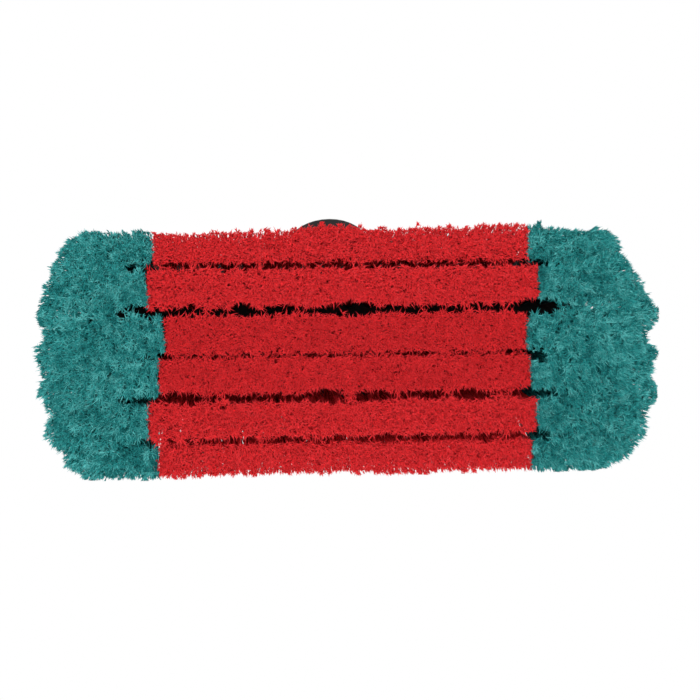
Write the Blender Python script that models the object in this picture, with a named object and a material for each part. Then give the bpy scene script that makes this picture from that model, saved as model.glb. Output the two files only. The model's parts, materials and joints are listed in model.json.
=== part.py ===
# Flow-through wash brush: a moulded block with a water chamber, a screwed back cover with a
# slanted handle socket, a rubber bumper and six rows of two-colour bristles.
# Metres, +Z up. The brush stands on its bristle tips at z = 0 with its long side along X,
# and the handle socket leans towards +Y.

from math import cos, pi, radians, sin, sqrt, tan
from random import Random

import bmesh
import bpy
from mathutils import Matrix, Vector

# Block, with its heights measured up from the middle of the bristle face
block_length = 0.254
block_width = 0.076
block_corner_radius = 0.020
block_depth = 0.0245
face_side_tilt = radians(17)
corner_steps = 6
cut_overrun = 0.010
sharp_angle = radians(32)

# Water chamber and its outlets
chamber_floor = 0.0145
rim_land = 0.0014
outlet_radius = 0.0015
outlet_pitch = 0.0297
outlet_sides = 8

# Gasket in a groove between the block and the cover
gasket_width = 0.0024
gasket_thickness = 0.0017
gasket_fit = 0.0003

# Rubber bumper round the block's side
bumper_proud = 0.0026
bumper_height = 0.0110
bumper_drop = 0.0073
bumper_lip = 0.0012
tongue_depth = 0.0018
tongue_height = 0.0030
bumper_fit = 0.0003

# Back cover: a flange for the screws and a raised deck
cover_fit = 0.0003
flange_thickness = 0.0036
flange_land = 0.0009
cover_rise = 0.0125
cover_edge_radius = 0.0050
cover_wall = 0.0036
edge_steps = 3

# Handle socket, with its lengths measured down its own axis from the mouth
socket_tilt = radians(50)
socket_lean = 0.0465
socket_rise = 0.0267
collar_radius = 0.0210
collar_length = 0.0100
collar_edge = 0.0014
boss_neck_radius = 0.0194
boss_root_radius = 0.0212
bore_radius = 0.0126
bore_depth = 0.0260
bore_chamfer = 0.0012
port_radius = 0.0070
socket_sides = 32

# Ribs that carry the socket on the cover
rib_thickness = 0.0034
rib_reach = 0.052
rib_toe = 0.0016
rib_rise = 0.0177
rib_y = 0.0170
rib_sink = 0.0020
rib_bite_share = 0.7

# Hose washer in its seat below the bore
washer_radius = 0.0131
washer_bore_radius = 0.0078
washer_thickness = 0.0026
washer_fit = 0.0003

# Cover screws
screw_edge_inset = 0.0054
screw_head_radius = 0.0034
screw_head_height = 0.0021
screw_head_crown = 0.0010
screw_head_recess = 0.0010
screw_shank_radius = 0.0017
screw_length = 0.0125
screw_socket_radius = 0.0012
screw_socket_depth = 0.0011
screw_fit = 0.0003
screw_sides = 16
screw_x_share = (0.27, 0.756)

# Bristle rows, from the middle outwards. Their roots are shares of the block's half width
row_root_share = (0.171, 0.5, 0.816)
row_end_inset = (0.0080, 0.0080, 0.0180)
row_end_splay = (0.0305, 0.0300, 0.0270)
row_fan_share = 1.66
teal_tufts = 3
tuft_pitch = 0.0099
strands_per_tuft = 3
trim_length = 0.0615
trim_cut = 0.0015
scatter = 0.0007
scatter_seed = 6
splay_span = 0.028
splay_power = 1.5
end_fan_share = 1.03
lane_share = (-0.335, 0.02, 0.335)
bend_share = 0.5
bend_reach_share = 0.41
strand_root_radius = 0.0011
strand_bend_radius = 0.0017
strand_tip_radius = 0.0026
triangle_share = ((-0.866, -0.5), (0.866, -0.5), (0, 1))

# Slice of backing that carries the strands of a node, in a slot of the block
slice_depth = 0.0030
slice_fit = 0.0003

# Places worked out from the sizes above
half_length = block_length / 2
half_width = block_width / 2
block_face_height = trim_length - trim_cut
block_top_height = block_face_height + block_depth
row_root_y = [share * half_width for share in row_root_share]
row_pitch = (row_root_y[2] - row_root_y[0]) / 2 * row_fan_share
row_tufts = [int((half_length - inset) / tuft_pitch) for inset in row_end_inset]
red_tufts = row_tufts[0] - teal_tufts
strand_pitch = tuft_pitch / strands_per_tuft
flat_half = (row_root_y[0] + row_root_y[1]) / 2
gasket_inset = screw_edge_inset + screw_shank_radius + screw_fit + rim_land
rim_width = gasket_inset + gasket_width + gasket_fit + rim_land
cover_inset = screw_edge_inset + screw_head_radius + screw_fit + flange_land
cover_base = block_top_height + cover_fit
flange_top = cover_base + flange_thickness
screw_seat = flange_top - screw_head_recess
cover_top = cover_base + cover_rise
mouth_height = cover_top + socket_rise
boss_length = socket_rise / cos(socket_tilt) + boss_root_radius * tan(socket_tilt) + cover_wall
port_length = (socket_rise + cover_wall) / cos(socket_tilt) + port_radius * tan(socket_tilt) + cut_overrun
socket_place = Matrix.Translation((0, socket_lean, mouth_height)) @ Matrix.Rotation(-socket_tilt, 4, "X")


def clear_scene():
    for old in list(bpy.data.objects):
        bpy.data.objects.remove(old)


def material(name, colour, roughness, metallic=0.0):
    made = bpy.data.materials.new(name)
    made.use_nodes = True
    shader = made.node_tree.nodes["Principled BSDF"]
    shader.inputs["Base Color"].default_value = (*colour, 1)
    shader.inputs["Roughness"].default_value = roughness
    shader.inputs["Metallic"].default_value = metallic
    made.diffuse_color = (*colour, 1)
    return made


def block_plastic():
    return material("block_plastic", (0.020, 0.018, 0.018), 0.45)


def cover_plastic():
    return material("cover_plastic", (0.024, 0.022, 0.022), 0.40)


def bumper_rubber():
    return material("bumper_rubber", (0.035, 0.035, 0.037), 0.75)


def gasket_rubber():
    return material("gasket_rubber", (0.045, 0.045, 0.048), 0.80)


def washer_rubber():
    return material("washer_rubber", (0.030, 0.028, 0.028), 0.70)


def stainless_steel():
    return material("stainless_steel", (0.62, 0.61, 0.60), 0.28, 1.0)


def red_filament():
    return material("red_filament", (0.527, 0.020, 0.024), 0.55)


def teal_filament():
    return material("teal_filament", (0.024, 0.181, 0.178), 0.55)


def new_object(name, shape, look=None):
    mesh = bpy.data.meshes.new(name)
    shape.to_mesh(mesh)
    shape.free()
    made = bpy.data.objects.new(name, mesh)
    bpy.context.scene.collection.objects.link(made)
    if look:
        mesh.materials.append(look)
    return made


def cut(target, name, shape):
    join(target, name, shape, "DIFFERENCE")


# Adds a Boolean with its own hidden tool object
def join(target, name, shape, operation="UNION"):
    tool = new_object(name, shape)
    tool.hide_render = True
    tool.display_type = "WIRE"
    change = target.modifiers.new(name, "BOOLEAN")
    change.operation = operation
    change.solver = "EXACT"
    change.object = tool


def smooth(made):
    made.data.shade_smooth()
    made.data.set_sharp_from_angle(angle=sharp_angle)


# Rings of points are joined side by side. An open stack is capped at both ends
def loft(rings, closed=False):
    shape = bmesh.new()
    loops = [[shape.verts.new(point) for point in ring] for ring in rings]
    pairs = list(zip(loops, loops[1:]))
    if closed:
        pairs.append((loops[-1], loops[0]))
    else:
        shape.faces.new(loops[0])
        shape.faces.new(loops[-1])
    for lower, upper in pairs:
        for i, j in zip(range(-1, len(lower)), range(len(lower))):
            shape.faces.new((lower[i], lower[j], upper[j], upper[i]))
    bmesh.ops.recalc_face_normals(shape, faces=shape.faces)
    return shape


# The block's outline moved in by inset, which every piece round the edge follows
def edge_outline(inset, height):
    radius = block_corner_radius - inset
    points = []
    for quarter, (sign_x, sign_y) in enumerate(((1, 1), (-1, 1), (-1, -1), (1, -1))):
        for step in range(corner_steps + 1):
            turn = (quarter + step / corner_steps) * pi / 2
            x = sign_x * (half_length - block_corner_radius) + radius * cos(turn)
            y = sign_y * (half_width - block_corner_radius) + radius * sin(turn)
            points.append((x, y, height))
    return points


# A band that runs round the edge, with a section of (inset, height) points
def edge_band(section):
    return loft([edge_outline(inset, height) for inset, height in section], closed=True)


def box_section(outer_inset, inner_inset, low, high):
    return ((outer_inset, low), (outer_inset, high), (inner_inset, high), (inner_inset, low))


# Rings round the local Z axis, from (height, radius) pairs
def turned_rings(profile, sides, place):
    turns = [2 * pi * side / sides for side in range(sides)]
    return [[place @ Vector((radius * cos(turn), radius * sin(turn), height)) for turn in turns]
            for height, radius in profile]


def turned(profile, sides, place=Matrix.Identity(4)):
    return loft(turned_rings(profile, sides, place))


def turned_at(profile, sides, places):
    return merge([turned(profile, sides, Matrix.Translation((x, y, 0))) for x, y in places])


# An outline of (y, z) points drawn out along X to both sides
def prism(outline, reach):
    return loft([[(x, y, z) for y, z in outline] for x in (-reach, reach)])


def merge(shapes):
    whole = bmesh.new()
    for shape in shapes:
        mesh = bpy.data.meshes.new("piece")
        shape.to_mesh(mesh)
        shape.free()
        whole.from_mesh(mesh)
        bpy.data.meshes.remove(mesh)
    return whole


# Height of the bristle face at a distance from the centre line
def face_height(y):
    return block_face_height + max(0, y - flat_half) * tan(face_side_tilt)


def screw_places():
    across = half_width - screw_edge_inset
    along = [share * half_length for share in screw_x_share]
    places = [(sx * x, sy * across) for x in along for sx in (1, -1) for sy in (1, -1)]
    return places + [(sx * (half_length - screw_edge_inset), 0) for sx in (1, -1)]


def outlet_places():
    count = int((half_length - rim_width) / outlet_pitch)
    return [(i * outlet_pitch, y) for y in (-flat_half, 0, flat_half) for i in range(-count, count + 1)]


# Frame of a row: X along it, Y across the bristle face and outwards, Z into the block
def row_frame(row, side):
    root_y = row_root_y[row]
    tilt = face_side_tilt if root_y > flat_half else 0
    turn = Matrix(((side, 0, 0), (0, side * cos(tilt), -side * sin(tilt)), (0, sin(tilt), cos(tilt))))
    return Matrix.Translation((0, side * root_y, face_height(root_y))) @ turn.to_4x4()


def side_face_cutter(side):
    reach = half_width + cut_overrun
    low = block_face_height - cut_overrun
    outline = ((flat_half, block_face_height), (reach, face_height(reach)), (reach, low), (flat_half, low))
    return prism([(side * y, z) for y, z in outline], half_length + cut_overrun)


def slot_cutter(row, side):
    half = strand_root_radius + slice_fit
    top = slice_depth + slice_fit
    outline = ((-half, -slice_depth), (half, -slice_depth), (half, top), (-half, top))
    shape = prism(outline, row_tufts[row] * tuft_pitch)
    shape.transform(row_frame(row, side))
    return shape


def make_block():
    shape = loft([edge_outline(0, block_face_height), edge_outline(0, block_top_height)])
    block = new_object("brush_block", shape, block_plastic())
    cut(block, "side_face_cut", merge([side_face_cutter(1), side_face_cutter(-1)]))
    above = block_top_height + cut_overrun
    floor = block_face_height + chamber_floor
    cut(block, "chamber_cut", loft([edge_outline(rim_width, z) for z in (floor, above)]))
    inner = gasket_inset + gasket_width + gasket_fit
    bottom = block_top_height - gasket_thickness - gasket_fit
    cut(block, "gasket_groove_cut", edge_band(box_section(gasket_inset - gasket_fit, inner, bottom, above)))
    half = tongue_height / 2 + bumper_fit
    middle = block_top_height - bumper_drop
    groove = box_section(-cut_overrun, tongue_depth + bumper_fit, middle - half, middle + half)
    cut(block, "bumper_groove_cut", edge_band(groove))
    rows = [(row, side) for row in range(len(row_root_y)) for side in (1, -1)]
    cut(block, "bristle_slot_cut", merge([slot_cutter(row, side) for row, side in rows]))
    profile = ((block_face_height - cut_overrun, outlet_radius), (floor + cut_overrun / 2, outlet_radius))
    cut(block, "outlet_cut", turned_at(profile, outlet_sides, outlet_places()))
    depth = screw_length - (screw_seat - cover_base) + screw_fit
    pilot = screw_shank_radius + screw_fit
    profile = ((block_top_height - depth, pilot), (above, pilot))
    cut(block, "pilot_cut", turned_at(profile, screw_sides, screw_places()))
    smooth(block)


def make_gasket():
    low = block_top_height - gasket_thickness
    section = box_section(gasket_inset, gasket_inset + gasket_width, low, block_top_height)
    smooth(new_object("cover_gasket", edge_band(section), gasket_rubber()))


# The bumper is a strip with eased outer edges and a tongue in the block's groove
def make_bumper():
    half = bumper_height / 2
    tongue = tongue_height / 2
    upper = ((tongue_depth, tongue), (-bumper_fit, tongue), (-bumper_fit, half),
             (bumper_lip - bumper_proud, half), (-bumper_proud, half - bumper_lip))
    section = list(upper) + [(inset, -height) for inset, height in reversed(upper)]
    middle = block_top_height - bumper_drop
    band = edge_band([(inset, middle + height) for inset, height in section])
    smooth(new_object("edge_bumper", band, bumper_rubber()))


# A flange, then a raised deck with a rounded edge
def cover_shape():
    rings = [edge_outline(0, cover_base), edge_outline(0, flange_top), edge_outline(cover_inset, flange_top)]
    for step in range(edge_steps + 1):
        turn = step / edge_steps * pi / 2
        inset = cover_inset + cover_edge_radius * (1 - cos(turn))
        rings.append(edge_outline(inset, cover_top - cover_edge_radius * (1 - sin(turn))))
    return loft(rings)


# The socket's outside, cut off level inside the flange
def boss_shape():
    profile = ((-boss_length, boss_root_radius), (-collar_length - collar_edge, boss_neck_radius),
               (-collar_length, collar_radius), (-collar_edge, collar_radius),
               (0, collar_radius - collar_edge))
    shape = turned(profile, socket_sides, socket_place)
    parts = shape.verts[:] + shape.edges[:] + shape.faces[:]
    level = (0, 0, cover_base + flange_thickness / 2)
    cut_edge = bmesh.ops.bisect_plane(
        shape, geom=parts, plane_co=level, plane_no=(0, 0, 1), clear_inner=True)
    edges = [part for part in cut_edge["geom_cut"] if isinstance(part, bmesh.types.BMEdge)]
    bmesh.ops.contextual_create(shape, geom=edges)
    bmesh.ops.recalc_face_normals(shape, faces=shape.faces)
    return shape


# The handle's bore with a lead-in, the washer's seat, and the water port into the chamber
def bore_shape():
    seat = bore_depth + washer_thickness + 2 * washer_fit
    seat_radius = washer_radius + washer_fit
    mouth = bore_radius + bore_chamfer
    profile = ((-port_length, port_radius), (-seat, port_radius), (-seat, seat_radius),
               (-bore_depth, seat_radius), (-bore_depth, bore_radius),
               (-bore_chamfer, bore_radius), (0, mouth), (cut_overrun, mouth))
    return turned(profile, socket_sides, socket_place)


def rib_shape(side):
    foot = cover_top - rib_sink
    outline = ((0, foot), (rib_reach, foot), (rib_reach, cover_top + rib_toe),
               (boss_neck_radius * rib_bite_share, cover_top + rib_rise), (0, cover_top + rib_rise))
    half = rib_thickness / 2
    return loft([[(side * x, rib_y + y, z) for x, z in outline] for y in (-half, half)])


def make_cover():
    cover = new_object("back_cover", cover_shape(), cover_plastic())
    join(cover, "boss_join", boss_shape())
    for side, name in ((1, "rib_join_plus"), (-1, "rib_join_minus")):
        join(cover, name, rib_shape(side))
    below = cover_base - cut_overrun
    inset = cover_inset + cover_wall
    cut(cover, "cavity_cut", loft([edge_outline(inset, z) for z in (below, cover_top - cover_wall)]))
    cut(cover, "bore_cut", bore_shape())
    hole = screw_shank_radius + screw_fit
    seat = screw_head_radius + screw_fit
    profile = ((below, hole), (screw_seat, hole), (screw_seat, seat), (flange_top + cut_overrun, seat))
    cut(cover, "screw_hole_cut", turned_at(profile, screw_sides, screw_places()))
    smooth(cover)


def make_washer():
    high = -bore_depth - washer_fit
    low = high - washer_thickness
    profile = ((low, washer_radius), (high, washer_radius),
               (high, washer_bore_radius), (low, washer_bore_radius))
    shape = loft(turned_rings(profile, socket_sides, socket_place), closed=True)
    smooth(new_object("hose_washer", shape, washer_rubber()))


# Pan head with a driver socket, and a shank with a blunt point
def make_screws():
    look = stainless_steel()
    seat = screw_seat + screw_fit
    top = seat + screw_head_height
    tip = seat - screw_length
    profile = ((tip, screw_shank_radius / 2), (tip + screw_shank_radius, screw_shank_radius),
               (seat, screw_shank_radius), (seat, screw_head_radius),
               (top - screw_head_crown, screw_head_radius), (top, screw_head_radius - screw_head_crown),
               (top, screw_socket_radius), (top - screw_socket_depth, screw_socket_radius))
    for number, (x, y) in enumerate(screw_places(), start=1):
        screw = new_object(f"cover_screw_{number:02d}", turned(profile, screw_sides), look)
        screw.location = (x, y, 0)
        smooth(screw)


# How far along the row a strand's tip lies, from where its root lies
def tip_reach(row, root_reach):
    start = row_tufts[row] * tuft_pitch - splay_span
    splay = (max(0, root_reach - start) / splay_span) ** splay_power
    return root_reach * end_fan_share + row_end_splay[row] * splay


# A strand's bend and tip, each a level triangle. The middle rows' tips are cut flat at the floor
def strand_rings(row, side, root, x, lane, dice):
    reach = tip_reach(row, abs(x)) - abs(x)
    drift_x = (reach if x > 0 else -reach) + dice.uniform(-scatter, scatter)
    drift_y = row_root_y[row] * (row_fan_share - 1) + lane * row_pitch + dice.uniform(-scatter, scatter)
    drop = min(root.z, sqrt(trim_length ** 2 - drift_x ** 2 - drift_y ** 2))
    rings = []
    for fall, out, radius in ((bend_share, bend_reach_share, strand_bend_radius), (1, 1, strand_tip_radius)):
        centre = root + Vector((side * drift_x * out, side * drift_y * out, -drop * fall))
        rings.append([centre + Vector((side * u * radius, side * v * radius, 0)) for u, v in triangle_share])
    return rings


# A node's strands grow out of the lower face of its slice, from one tuft boundary to another
def bristle_shape(row, side, from_tuft, to_tuft, dice):
    shape = bmesh.new()
    frame = row_frame(row, side)
    half = strand_root_radius

    def corner(x, y, z=0):
        return shape.verts.new(frame @ Vector((x, y, z)))

    def wall(lower, upper, per_tuft):
        marks = [0] + [1 + per_tuft * i for i in range(1, len(upper) - 1)] + [len(lower) - 1]
        for i in range(len(upper) - 1):
            shape.faces.new(lower[marks[i]:marks[i + 1] + 1] + [upper[i + 1], upper[i]])

    low = from_tuft * tuft_pitch + slice_fit
    high = to_tuft * tuft_pitch - slice_fit
    near = [corner(low, -half)]
    far = [corner(low, half)]
    for k in range(from_tuft * strands_per_tuft, to_tuft * strands_per_tuft):
        x = (k + 0.5) * strand_pitch
        loop = [corner(x - half, -half), corner(x + half, -half), corner(x, half)]
        shape.faces.new((near[-1], loop[0], loop[2], far[-1]))
        near += loop[:2]
        far.append(loop[2])
        root = frame @ Vector((x, 0, 0))
        for ring in strand_rings(row, side, root, x, lane_share[k % strands_per_tuft], dice):
            upper = [shape.verts.new(point) for point in ring]
            for i in range(len(loop)):
                shape.faces.new((loop[i - 1], loop[i], upper[i], upper[i - 1]))
            loop = upper
        shape.faces.new(loop)
    near.append(corner(high, -half))
    far.append(corner(high, half))
    shape.faces.new((near[-2], near[-1], far[-1], far[-2]))
    marks = [low] + [i * tuft_pitch for i in range(from_tuft + 1, to_tuft)] + [high]
    near_top = [corner(x, -half, slice_depth) for x in marks]
    far_top = [corner(x, half, slice_depth) for x in marks]
    wall(near, near_top, 2 * strands_per_tuft)
    wall(far, far_top, strands_per_tuft)
    for i in range(len(marks) - 1):
        shape.faces.new((near_top[i], near_top[i + 1], far_top[i + 1], far_top[i]))
    for i in (0, -1):
        shape.faces.new((near[i], near_top[i], far_top[i], far[i]))
    bmesh.ops.recalc_face_normals(shape, faces=shape.faces)
    return shape


def make_bristles():
    red = red_filament()
    teal = teal_filament()
    dice = Random(scatter_seed)
    rows = [(row, 1) for row in (2, 1, 0)] + [(row, -1) for row in (0, 1, 2)]
    for number, (row, side) in enumerate(rows, start=1):
        last = row_tufts[row]
        for name, start, end, look in (("red", -red_tufts, red_tufts, red),
                                       ("teal_plus", red_tufts, last, teal),
                                       ("teal_minus", -last, -red_tufts, teal)):
            first, past = (start, end) if side == 1 else (-end, -start)
            shape = bristle_shape(row, side, first, past, dice)
            new_object(f"bristles_row_{number}_{name}", shape, look)


clear_scene()
make_block()
make_gasket()
make_bumper()
make_cover()
make_washer()
make_screws()
make_bristles()
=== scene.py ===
import json
from math import cos, pi, radians, sin, tan

import bpy
import numpy as np
from mathutils import Matrix, Vector


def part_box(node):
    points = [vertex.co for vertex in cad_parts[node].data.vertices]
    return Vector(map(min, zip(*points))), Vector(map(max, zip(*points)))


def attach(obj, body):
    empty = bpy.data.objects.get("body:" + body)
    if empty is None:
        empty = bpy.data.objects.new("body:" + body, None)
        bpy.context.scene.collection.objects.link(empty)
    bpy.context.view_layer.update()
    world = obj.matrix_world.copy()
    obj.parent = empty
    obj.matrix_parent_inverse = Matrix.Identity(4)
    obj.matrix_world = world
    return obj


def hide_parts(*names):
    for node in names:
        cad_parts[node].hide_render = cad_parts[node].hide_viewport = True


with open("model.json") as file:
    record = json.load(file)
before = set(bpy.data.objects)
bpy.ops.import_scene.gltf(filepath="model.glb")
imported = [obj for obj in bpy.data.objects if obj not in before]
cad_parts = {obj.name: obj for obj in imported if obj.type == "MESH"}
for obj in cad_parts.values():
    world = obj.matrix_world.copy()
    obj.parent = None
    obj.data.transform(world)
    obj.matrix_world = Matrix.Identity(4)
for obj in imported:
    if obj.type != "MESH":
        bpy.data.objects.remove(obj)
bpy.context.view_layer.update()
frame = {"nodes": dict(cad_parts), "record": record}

blockLow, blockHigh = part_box("brush_block")
socketRim = frame["record"]["mounts"][0]
socketAxis = Vector(socketRim["axis"])
socketMouth = Vector((0, *socketRim["pos_m"][1:]))
socketPlace = Matrix.Translation(socketMouth) @ socketAxis.to_track_quat("Z", "X").to_matrix().to_4x4()

# Where the tufts stand. The rows run from the outside to the middle
tuftField = {
    "rootShare": (0.816, 0.5, 0.171),      # of the block's half width
    "rowTufts": (11, 12, 12),              # to each side of the middle
    "redTufts": 9,                         # to each side of the middle
    "pitch": 0.0099,
    "sideTilt": radians(17),
    "trim": 0.0015,                        # how much longer a tuft is than the face is high
}

# Where the photograph was taken from
photoView = {
    "place": (0.130, 0.128, -1.19),
    "aim": (0.0, 0.0, 0.010),
    "lens": 127.4,
    "roll": radians(-0.25),
}


def pickOnly(*pieces):
    bpy.ops.object.select_all(action="DESELECT")
    for piece in pieces:
        piece.select_set(True)
    bpy.context.view_layer.objects.active = pieces[0]


def newShape(primitive, **values):
    bpy.ops.object.select_all(action="DESELECT")
    primitive(**values)
    return bpy.context.object


def newObject(name, data):
    made = bpy.data.objects.new(name, data)
    bpy.context.scene.collection.objects.link(made)
    return made


def settle(piece):
    pickOnly(piece)
    bpy.ops.object.transform_apply(location=True, rotation=True, scale=True)


def applyAll(piece):
    pickOnly(piece)
    for modifier in list(piece.modifiers):
        bpy.ops.object.modifier_apply(modifier=modifier.name)


def joined(pieces, name):
    pickOnly(*pieces)
    bpy.ops.object.join()
    whole = bpy.context.object
    whole.name = name
    return whole


def outwards(piece):
    pickOnly(piece)
    bpy.ops.object.mode_set(mode="EDIT")
    bpy.ops.mesh.select_all(action="SELECT")
    bpy.ops.mesh.remove_doubles(threshold=0.000001)
    bpy.ops.mesh.normals_make_consistent(inside=False)
    bpy.ops.object.mode_set(mode="OBJECT")


# Booleans with a tool object that is thrown away afterwards
def carve(piece, tool, operation="DIFFERENCE"):
    change = piece.modifiers.new("carve", "BOOLEAN")
    change.object = tool
    change.operation = operation
    change.solver = "EXACT"
    applyAll(piece)
    bpy.data.objects.remove(tool)


def finishPiece(piece, material, replaced=()):
    piece.data.materials.clear()
    piece.data.materials.append(material)
    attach(piece, "root")
    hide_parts(*replaced)


def newNode(tree, kind, x, y, **values):
    node = tree.nodes.new("ShaderNode" + kind)
    node.location = (x, y)
    for label, value in values.items():
        node.inputs[label.replace("_", " ")].default_value = value
    return node


def newGroup(name, inputs, outputs):
    group = bpy.data.node_groups.new(name, "ShaderNodeTree")
    for label, value in inputs.items():
        kind = "NodeSocketFloat" if isinstance(value, float) else "NodeSocketColor"
        group.interface.new_socket(label, in_out="INPUT", socket_type=kind).default_value = value
    for label, kind in outputs.items():
        group.interface.new_socket(label, in_out="OUTPUT", socket_type="NodeSocket" + kind)
    start = group.nodes.new("NodeGroupInput")
    end = group.nodes.new("NodeGroupOutput")
    start.location = (-900, 0)
    end.location = (700, 0)
    return group, start, end


def useGroup(tree, group, x, y, **values):
    node = tree.nodes.new("ShaderNodeGroup")
    node.node_tree = group
    node.location = (x, y)
    for label, value in values.items():
        node.inputs[label.replace("_", " ")].default_value = value
    return node


def mixColours(tree, x, y, factor, first, second):
    mix = tree.nodes.new("ShaderNodeMix")
    mix.data_type = "RGBA"
    mix.location = (x, y)
    for socket, value in ((mix.inputs[0], factor), (mix.inputs[6], first), (mix.inputs[7], second)):
        if isinstance(value, bpy.types.NodeSocket):
            tree.links.new(value, socket)
        else:
            socket.default_value = value
    return mix.outputs[2]


def mathNode(tree, x, y, kind, *values):
    node = tree.nodes.new("ShaderNodeMath")
    node.operation = kind
    node.location = (x, y)
    for socket, value in zip(node.inputs, values):
        if isinstance(value, bpy.types.NodeSocket):
            tree.links.new(value, socket)
        else:
            socket.default_value = value
    return node.outputs[0]


# What all moulded surfaces and all filaments share
surfaceLook = {
    "pitDepth": 0.4,            # beside the fine grain's
    "rubStrength": 12.0,
    "patchMix": 0.3,
    "roughDrift": 0.08,
    "grainHeight": 0.00008,
    "dustColour": (0.30, 0.29, 0.27, 1),
    "clumpDrift": 1.2,          # how far the tone drifts from clump to clump
}


# Fine spark-eroded grain of moulded plastic and rubber, with wide duller patches
def grainGroup():
    group, start, end = newGroup("mouldedGrain", {"Grain Scale": 900.0, "Patch Scale": 30.0},
                                 {"Height": "Float", "Patches": "Float"})
    place = newNode(group, "TexCoord", -900, -200)
    fine = newNode(group, "TexNoise", -500, 150, Detail=4.0, Roughness=0.6)
    pits = newNode(group, "TexVoronoi", -500, -100)
    patches = newNode(group, "TexNoise", -500, -350, Detail=3.0)
    for texture, scale in ((fine, "Grain Scale"), (pits, "Grain Scale"), (patches, "Patch Scale")):
        group.links.new(place.outputs["Object"], texture.inputs["Vector"])
        group.links.new(start.outputs[scale], texture.inputs["Scale"])
    both = mathNode(group, -200, 50, "MULTIPLY_ADD", pits.outputs["Distance"], surfaceLook["pitDepth"],
                    fine.outputs["Fac"])
    group.links.new(both, end.inputs["Height"])
    group.links.new(patches.outputs["Fac"], end.inputs["Patches"])
    return group


# Edges that hands and walls have rubbed, broken up by noise
def edgeGroup():
    group, start, end = newGroup("edgeRub", {"Width": 0.0008, "Wear": 0.5}, {"Rubbed": "Float"})
    rounded = newNode(group, "Bevel", -600, 100)
    group.links.new(start.outputs["Width"], rounded.inputs["Radius"])
    flat = newNode(group, "NewGeometry", -600, -100)
    close = group.nodes.new("ShaderNodeVectorMath")
    close.operation = "DOT_PRODUCT"
    close.location = (-400, 0)
    group.links.new(rounded.outputs["Normal"], close.inputs[0])
    group.links.new(flat.outputs["Normal"], close.inputs[1])
    turned = mathNode(group, -200, 0, "SUBTRACT", 1.0, close.outputs["Value"])
    place = newNode(group, "TexCoord", -900, -300)
    broken = newNode(group, "TexNoise", -600, -300, Scale=220.0, Detail=4.0)
    group.links.new(place.outputs["Object"], broken.inputs["Vector"])
    patchy = mathNode(group, 0, -100, "MULTIPLY", turned, broken.outputs["Fac"])
    strong = mathNode(group, 200, 0, "MULTIPLY", patchy, surfaceLook["rubStrength"])
    worn = mathNode(group, 400, 0, "MULTIPLY", strong, start.outputs["Wear"])
    worn.node.use_clamp = True
    group.links.new(worn, end.inputs["Rubbed"])
    return group


# A little dust where a surface faces up
def dustGroup():
    group, start, end = newGroup("settledDust", {"Amount": 0.2, "Speck Scale": 160.0}, {"Dust": "Float"})
    flat = newNode(group, "NewGeometry", -700, 100)
    split = newNode(group, "SeparateXYZ", -500, 100)
    group.links.new(flat.outputs["Normal"], split.inputs[0])
    facing = newNode(group, "MapRange", -300, 100, From_Min=0.2, From_Max=1.0)
    group.links.new(split.outputs["Z"], facing.inputs["Value"])
    place = newNode(group, "TexCoord", -900, -200)
    specks = newNode(group, "TexNoise", -500, -200, Detail=6.0, Roughness=0.7)
    group.links.new(place.outputs["Object"], specks.inputs["Vector"])
    group.links.new(start.outputs["Speck Scale"], specks.inputs["Scale"])
    sparse = newNode(group, "MapRange", -300, -200, From_Min=0.45, From_Max=0.75)
    group.links.new(specks.outputs["Fac"], sparse.inputs["Value"])
    lying = mathNode(group, 0, 0, "MULTIPLY", facing.outputs["Result"], sparse.outputs["Result"])
    amount = mathNode(group, 200, 0, "MULTIPLY", lying, start.outputs["Amount"])
    group.links.new(amount, end.inputs["Dust"])
    return group


# Colour of one filament: its own tone between the deep, body and pale colours, paler at the split ends, with
# painted shade that gives the lower shaft the deep colour
def toneGroup():
    group, start, end = newGroup("filamentTone", {"Deep": (0, 0, 0, 1), "Body": (0.5, 0.5, 0.5, 1),
                                                  "Pale": (1, 1, 1, 1)},
                                 {"Colour": "Color", "Height": "Float"})
    tone = newNode(group, "Attribute", -700, 200)
    tone.attribute_name = "tone"
    along = newNode(group, "Attribute", -700, -100)
    along.attribute_name = "along"
    place = newNode(group, "TexCoord", -900, -350)
    clumps = newNode(group, "TexNoise", -700, -350, Scale=260.0, Detail=2.0)
    group.links.new(place.outputs["Object"], clumps.inputs["Vector"])
    drift = mathNode(group, -450, -250, "MULTIPLY_ADD", clumps.outputs["Fac"], surfaceLook["clumpDrift"],
                     -surfaceLook["clumpDrift"] / 2)
    shade = mathNode(group, -450, 100, "ADD", tone.outputs["Fac"], drift)
    low = newNode(group, "MapRange", -200, 200, From_Min=0.0, From_Max=0.45)
    high = newNode(group, "MapRange", -200, -50, From_Min=0.55, From_Max=1.0)
    group.links.new(shade, low.inputs["Value"])
    group.links.new(shade, high.inputs["Value"])
    body = mixColours(group, 50, 200, low.outputs["Result"], start.outputs["Deep"], start.outputs["Body"])
    pale = mixColours(group, 250, 100, high.outputs["Result"], body, start.outputs["Pale"])
    # Painted shade: up to 0.72 of the way to the tip the filament takes the deep colour, blending into its
    # own tone by 0.92
    root = newNode(group, "MapRange", -200, -300, From_Min=0.72, From_Max=0.92)
    group.links.new(along.outputs["Fac"], root.inputs["Value"])
    whole = mixColours(group, 450, 0, root.outputs["Result"], start.outputs["Deep"], pale)
    group.links.new(whole, end.inputs["Colour"])
    group.links.new(clumps.outputs["Fac"], end.inputs["Height"])
    return group


mouldedGrain = grainGroup()
edgeRub = edgeGroup()
settledDust = dustGroup()
filamentTone = toneGroup()


def newMaterial(name, **sockets):
    made = bpy.data.materials.new(name)
    made.use_nodes = True
    shader = made.node_tree.nodes["Principled BSDF"]
    shader.location = (700, 0)
    made.node_tree.nodes["Material Output"].location = (1000, 0)
    for label, value in sockets.items():
        shader.inputs[label.replace("_", " ")].default_value = value
    return made, made.node_tree, shader


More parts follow.
